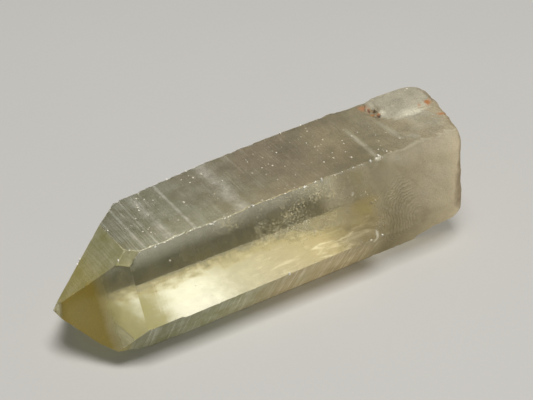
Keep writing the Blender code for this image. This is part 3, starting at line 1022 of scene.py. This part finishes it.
patterns = patternGroup()
quartzLook = quartzMaterial(patterns)
crystalBody = buildCrystalMesh()
print("crystal mesh filled:", len(crystalBody.data.vertices), "points")
runTree(crystalBody, reliefTree(), {**relief, "Material": quartzLook})
keepOnFloor(crystalBody)
crystalBody.data.set_sharp_from_angle(angle=math.radians(crystal["sharpInRelief"]))
print("relief done:", len(crystalBody.data.polygons), "faces")
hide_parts(crystalNode)
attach(crystalBody, "root")


# Small grains made by node trees: chips along the edges, dust on the faces, flakes of the inner veils.

grainScatter = {
    "turn": (6.28, 6.28, 6.28),  # largest turn about each axis, radians
    "slide": (0.12, 0.02, 0.02),  # furthest that a grain slides off its point, mm
    "mostlySmall": 3.0,  # power that makes large grains rare
    "wide": (0.0, 1.0, 0.6, 1.6),
    "toOther": (0.35, 0.65),  # where the grains change to their other colour
}


def grainTree(name, chance, onFaces):
    tree = bpy.data.node_groups.new(name, "GeometryNodeTree")
    tree.interface.new_socket("Mesh", in_out="INPUT", socket_type="NodeSocketGeometry")
    for field in ("Amount", "Smallest", "Largest", "Flatness"):
        tree.interface.new_socket(field, in_out="INPUT", socket_type="NodeSocketFloat")
    tree.interface.new_socket("Seed", in_out="INPUT", socket_type="NodeSocketInt")
    tree.interface.new_socket("Material", in_out="INPUT", socket_type="NodeSocketMaterial")
    tree.interface.new_socket("Mesh", in_out="OUTPUT", socket_type="NodeSocketGeometry")
    given = addNode(tree, "NodeGroupInput").outputs

    def dice(kind, offset):
        seed = doMath(tree, "ADD", given["Seed"], float(offset))
        return addNode(tree, "FunctionNodeRandomValue", {"Seed": seed}, data_type=kind)

    here = addNode(tree, "GeometryNodeInputNamedAttribute", {"Name": chance}, data_type="FLOAT").outputs[0]
    if onFaces:
        density = doMath(tree, "MULTIPLY", here, given["Amount"], 1 / (mm * mm))
        spread = addNode(tree, "GeometryNodeDistributePointsOnFaces", {
            "Mesh": given["Mesh"], "Density": density, "Seed": given["Seed"]}).outputs
        points, turn = spread["Points"], spread["Rotation"]
    else:
        share = doMath(tree, "MULTIPLY", here, given["Amount"])
        wanted = doMath(tree, "LESS_THAN", dice("FLOAT", 1).outputs[1], share)
        points = addNode(tree, "GeometryNodeMeshToPoints", {
            "Mesh": given["Mesh"], "Selection": wanted}).outputs[0]
        turns = dice("FLOAT_VECTOR", 2)
        turns.inputs[1].default_value = grainScatter["turn"]
        turn = turns.outputs[0]
        slide = dice("FLOAT_VECTOR", 3)
        slide.inputs[0].default_value = [-reach * mm for reach in grainScatter["slide"]]
        slide.inputs[1].default_value = [reach * mm for reach in grainScatter["slide"]]
        points = addNode(tree, "GeometryNodeSetPosition", {
            "Geometry": points, "Offset": slide.outputs[0]}).outputs[0]
    uneven = doMath(tree, "POWER", dice("FLOAT", 4).outputs[1], grainScatter["mostlySmall"])
    size = doMath(tree, "MULTIPLY", uneven, doMath(tree, "SUBTRACT", given["Largest"], given["Smallest"]))
    size = doMath(tree, "MULTIPLY", doMath(tree, "ADD", size, given["Smallest"]), mm)
    wide = doMath(tree, "MULTIPLY", size, remap(tree, dice("FLOAT", 5).outputs[1], *grainScatter["wide"]))
    thick = doMath(tree, "MULTIPLY", size, given["Flatness"])
    scale = addNode(tree, "ShaderNodeCombineXYZ", {0: wide, 1: size, 2: thick}).outputs[0]
    grain = addNode(tree, "GeometryNodeMeshIcoSphere", {"Radius": 1.0, "Subdivisions": 1}).outputs[0]
    placed = addNode(tree, "GeometryNodeInstanceOnPoints", {
        "Points": points, "Instance": grain, "Rotation": turn, "Scale": scale}).outputs[0]
    endTree(tree, placed, given["Material"])
    return tree


def grainMaterial(name, look, patterns):
    # Pale grains that catch the light, with a little of it passing through.
    material, tree = newMaterial(name)
    place = addNode(tree, "ShaderNodeTexCoord").outputs["Object"]
    spot = doVector(tree, "MULTIPLY", place, (1 / mm,) * 3)
    shared = useGroup(tree, patterns, {"Spot": spot, "Lines Per mm": 1.0})
    share = remap(tree, shared["Mottle"], *grainScatter["toOther"])
    colour = mixColours(tree, share, look["colour"], look["other"])
    solid = addNode(tree, "ShaderNodeBsdfPrincipled", {
        "Base Color": colour, "Roughness": look["rough"], "IOR": quartz["ior"]}).outputs[0]
    through = addNode(tree, "ShaderNodeBsdfTranslucent", {"Color": colour}).outputs[0]
    body = mixShaders(tree, look["through"], solid, through)
    gone = addNode(tree, "ShaderNodeBsdfTransparent").outputs[0]
    body = mixShaders(tree, look["thin"], body, gone)
    addNode(tree, "ShaderNodeOutputMaterial", {"Surface": body})
    return material


grainPieces = {  # what each kind of grain follows, how many, how large (mm) and how it looks
    "edgeChips": {
        "chance": "chips", "onFaces": False,
        "tree": {"Amount": 0.24, "Smallest": 0.03, "Largest": 0.22, "Flatness": 0.6, "Seed": 11},
        "look": {"colour": (0.95, 0.94, 0.88, 1.0), "other": (0.78, 0.75, 0.64, 1.0), "rough": 0.3,
                 "through": 0.15, "thin": 0.0}},
    "surfaceDust": {
        "chance": "dust", "onFaces": True,
        "tree": {"Amount": 1.2, "Smallest": 0.035, "Largest": 0.14, "Flatness": 0.45, "Seed": 5},
        "look": {"colour": (0.80, 0.79, 0.72, 1.0), "other": (0.50, 0.42, 0.30, 1.0), "rough": 0.8,
                 "through": 0.1, "thin": 0.1}},
    "innerVeils": {
        "chance": "veil", "onFaces": True,
        "tree": {"Amount": 150.0, "Smallest": 0.025, "Largest": 0.10, "Flatness": 0.3, "Seed": 23},
        "look": {"colour": (0.94, 0.91, 0.80, 1.0), "other": (0.84, 0.76, 0.58, 1.0), "rough": 0.5,
                 "through": 0.5, "thin": 0.72}},
    "innerFlecks": {
        "chance": "fleck", "onFaces": False,
        "tree": {"Amount": 1.0, "Smallest": 0.05, "Largest": 0.24, "Flatness": 0.3, "Seed": 31},
        "look": {"colour": (0.92, 0.91, 0.84, 1.0), "other": (0.80, 0.77, 0.64, 1.0), "rough": 0.3,
                 "through": 0.3, "thin": 0.0}},
}

veilSheets = (  # centre, half side one, half side two, bend, all in mm
    ((4.5, -2.5, 8.6), (9.0, 0.6, 0.9), (0.4, 2.4, 3.6), 1.4),
    ((10.0, 0.5, 7.4), (3.0, 4.6, 1.0), (-0.9, 0.4, 4.2), 1.1),
    ((-4.0, 1.5, 9.5), (5.0, 2.2, 0.6), (0.8, 1.6, 2.4), 1.0),
)
veilCloud = {
    "side": 26,  # points along each side of a sheet
    "bendNoise": 0.16,  # all noise per mm
    "bendShift": 7.3,
    "cloudNoise": 0.33,
    "cloudShift": 5.1,
    "fineNoise": 1.1,
    "cloudChange": 0.9,
    "fade": 1.5,
}
fleckSpread = (0.34, 0.15, 0.16)  # how far the flakes of one group scatter, mm
fleckSeed = 8
fleckSpots = (  # centre and how many flakes sit round it
    ((9.35, -6.9, 10.9), 7), ((10.9, -7.2, 10.4), 9), ((15.6, -6.5, 11.5), 6), ((15.4, -7.5, 9.8), 5),
    ((6.5, -6.0, 9.5), 4), ((2.5, -6.6, 9.0), 3), ((12.6, -7.0, 8.6), 5))


def veilMesh():
    # Curved sheets inside the crystal, with the chance of a flake at each point.
    spots, faces, chance = [], [], []
    side = veilCloud["side"]
    for number, (centre, one, two, bend) in enumerate(veilSheets):
        centre, one, two = Vector(centre), Vector(one), Vector(two)
        upward = one.cross(two).normalized()
        start = len(spots)
        for i in range(side):
            for j in range(side):
                u, v = 2 * i / (side - 1) - 1, 2 * j / (side - 1) - 1
                spot = centre + one * u + two * v
                shift = Vector((number * veilCloud["bendShift"], 0, 0))
                spot += upward * bend * noise.noise(spot * veilCloud["bendNoise"] + shift)
                spots.append(spot)
                shift = Vector((0, number * veilCloud["cloudShift"], 0))
                cloud = 0.5 + veilCloud["cloudChange"] * noise.noise(spot * veilCloud["cloudNoise"] + shift)
                cloud += 0.5 * noise.noise(spot * veilCloud["fineNoise"])
                fade = max(0.0, 1.0 - (u * u + v * v) ** veilCloud["fade"])
                chance.append(within(cloud) ** 2 * fade)
        for i in range(side - 1):
            for j in range(side - 1):
                corner = start + i * side + j
                faces.append((corner, corner + side, corner + side + 1, corner + 1))
    mesh = bpy.data.meshes.new("veilSheets")
    mesh.from_pydata([spot * mm for spot in spots], [], faces)
    addAttribute(mesh, "veil", "POINT", chance)
    return mesh


def fleckMesh():
    dice = random.Random(fleckSeed)
    spots = []
    for centre, count in fleckSpots:
        for i in range(count):
            spots.append(Vector(centre) + Vector([dice.gauss(0.0, spread) for spread in fleckSpread]))
    mesh = bpy.data.meshes.new("fleckSpots")
    mesh.from_pydata([spot * mm for spot in spots], [], [])
    addAttribute(mesh, "fleck", "POINT", np.ones(len(spots)))
    return mesh


def buildGrains(name, source, patterns):
    piece = grainPieces[name]
    obj = bpy.data.objects.new(name, source)
    scene.collection.objects.link(obj)
    material = grainMaterial(name + "Look", piece["look"], patterns)
    tree = grainTree(name + "Tree", piece["chance"], piece["onFaces"])
    runTree(obj, tree, {**piece["tree"], "Material": material})
    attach(obj, "root")
    print(name, len(obj.data.polygons), "faces")


sources = {"edgeChips": crystalBody.data, "surfaceDust": crystalBody.data,
           "innerVeils": veilMesh(), "innerFlecks": fleckMesh()}
for name, source in sources.items():
    buildGrains(name, source, patterns)


# Studio: pale floor, soft lights and the camera.

floorLook = {
    "colour": (0.74, 0.73, 0.70, 1.0),
    "darker": (0.70, 0.69, 0.66, 1.0),
    "size": 3.0,  # metres, as are all lengths from here on
    "level": -0.00004,  # just under the crystal
    "patches": (22.0, 4.0),
    "grain": (900.0, 3.0),
    "bumpStrength": 0.15,
    "bumpDepth": 0.0002,
    "rough": 0.75,
}


def buildFloor():
    half = floorLook["size"] / 2
    mesh = bpy.data.meshes.new("floor")
    corners = ((-half, -half), (half, -half), (half, half), (-half, half))
    mesh.from_pydata([(x, y, floorLook["level"]) for x, y in corners], [], [(0, 1, 2, 3)])
    obj = bpy.data.objects.new("floor", mesh)
    scene.collection.objects.link(obj)
    material, tree = newMaterial("paleFloor")
    place = addNode(tree, "ShaderNodeTexCoord").outputs["Object"]
    patches = noiseOf(tree, place, *floorLook["patches"])
    tone = mixColours(tree, patches, floorLook["darker"], floorLook["colour"])
    bump = addNode(tree, "ShaderNodeBump", {
        "Height": noiseOf(tree, place, *floorLook["grain"]), "Strength": floorLook["bumpStrength"],
        "Distance": floorLook["bumpDepth"]}).outputs[0]
    shader = addNode(tree, "ShaderNodeBsdfPrincipled", {
        "Base Color": tone, "Roughness": floorLook["rough"], "Normal": bump}).outputs[0]
    addNode(tree, "ShaderNodeOutputMaterial", {"Surface": shader})
    mesh.materials.append(material)


studio = {
    "world": (0.80, 0.84, 0.90, 1.0),
    "worldStrength": 0.10,
    "lights": (  # name, what it lights, azimuth and height in degrees, distance, size, power, colour
        ("floorLamp", "floor", 0.0, 82.0, 0.60, 0.30, 2.8, (1.0, 0.98, 0.95)),
        ("overhead", "crystal", 160.0, 72.0, 0.60, 0.36, 3.0, (1.0, 0.975, 0.88)),
        ("behind", "crystal", 150.0, 36.0, 0.60, 0.30, 0.35, (1.0, 0.98, 0.93)),
        ("backFill", "crystal", 172.0, 24.0, 0.60, 0.30, 0.6, (1.0, 0.97, 0.90)),
        ("nearFill", "crystal", 35.0, 40.0, 0.60, 0.30, 3.5, (1.0, 0.99, 0.96)),
    ),
}


def directionOf(azimuth, elevation):
    az, el = math.radians(azimuth), math.radians(elevation)
    return Vector((math.cos(el) * math.sin(az), -math.cos(el) * math.cos(az), math.sin(el)))


def buildLights():
    lit = {name: bpy.data.collections.new(name + "Lit") for name in ("floor", "crystal")}
    for obj in scene.objects:
        if obj.type == "MESH":
            lit["floor" if obj.name == "floor" else "crystal"].objects.link(obj)
    world = bpy.data.worlds.new("studio")
    scene.world = world
    world.use_nodes = True
    background = world.node_tree.nodes["Background"]
    background.inputs["Color"].default_value = studio["world"]
    background.inputs["Strength"].default_value = studio["worldStrength"]
    for name, target, azimuth, elevation, distance, size, power, colour in studio["lights"]:
        lamp = bpy.data.lights.new(name, "AREA")
        lamp.shape = "SQUARE"
        lamp.size = size
        lamp.energy = power
        lamp.color = colour
        obj = bpy.data.objects.new(name, lamp)
        direction = directionOf(azimuth, elevation)
        obj.location = direction * distance
        obj.rotation_euler = direction.to_track_quat("Z", "Y").to_euler()
        scene.collection.objects.link(obj)
        obj.light_linking.receiver_collection = lit[target]


viewpoint = {
    "place": (-0.081087, -0.134463, 0.116590),
    "azimuth": -31.4426,
    "elevation": 34.2565,
    "roll": -1.0178,
    "lens": 100.09,  # mm, as is the sensor
    "sensor": 36.0,
    "clip": 0.005,
}


def buildCamera():
    data = bpy.data.cameras.new("camera")
    data.lens = viewpoint["lens"]
    data.sensor_width = viewpoint["sensor"]
    data.clip_start = viewpoint["clip"]
    obj = bpy.data.objects.new("camera", data)
    back = directionOf(viewpoint["azimuth"], viewpoint["elevation"])
    right = Vector((0, 0, 1)).cross(back).normalized()
    turn = Matrix((right, back.cross(right), back)).transposed()
    turn = turn @ Matrix.Rotation(math.radians(viewpoint["roll"]), 3, "Z")
    obj.matrix_world = Matrix.Translation(viewpoint["place"]) @ turn.to_4x4()
    scene.collection.objects.link(obj)
    scene.camera = obj


buildFloor()
buildLights()
buildCamera()
scene.view_settings.view_transform = "Standard"
scene.cycles.max_bounces = 24
scene.cycles.transmission_bounces = 20
scene.cycles.transparent_max_bounces = 24
scene.cycles.use_denoising = True
scene.cycles.caustics_refractive = False
scene.cycles.caustics_reflective = False
print("studio ready")
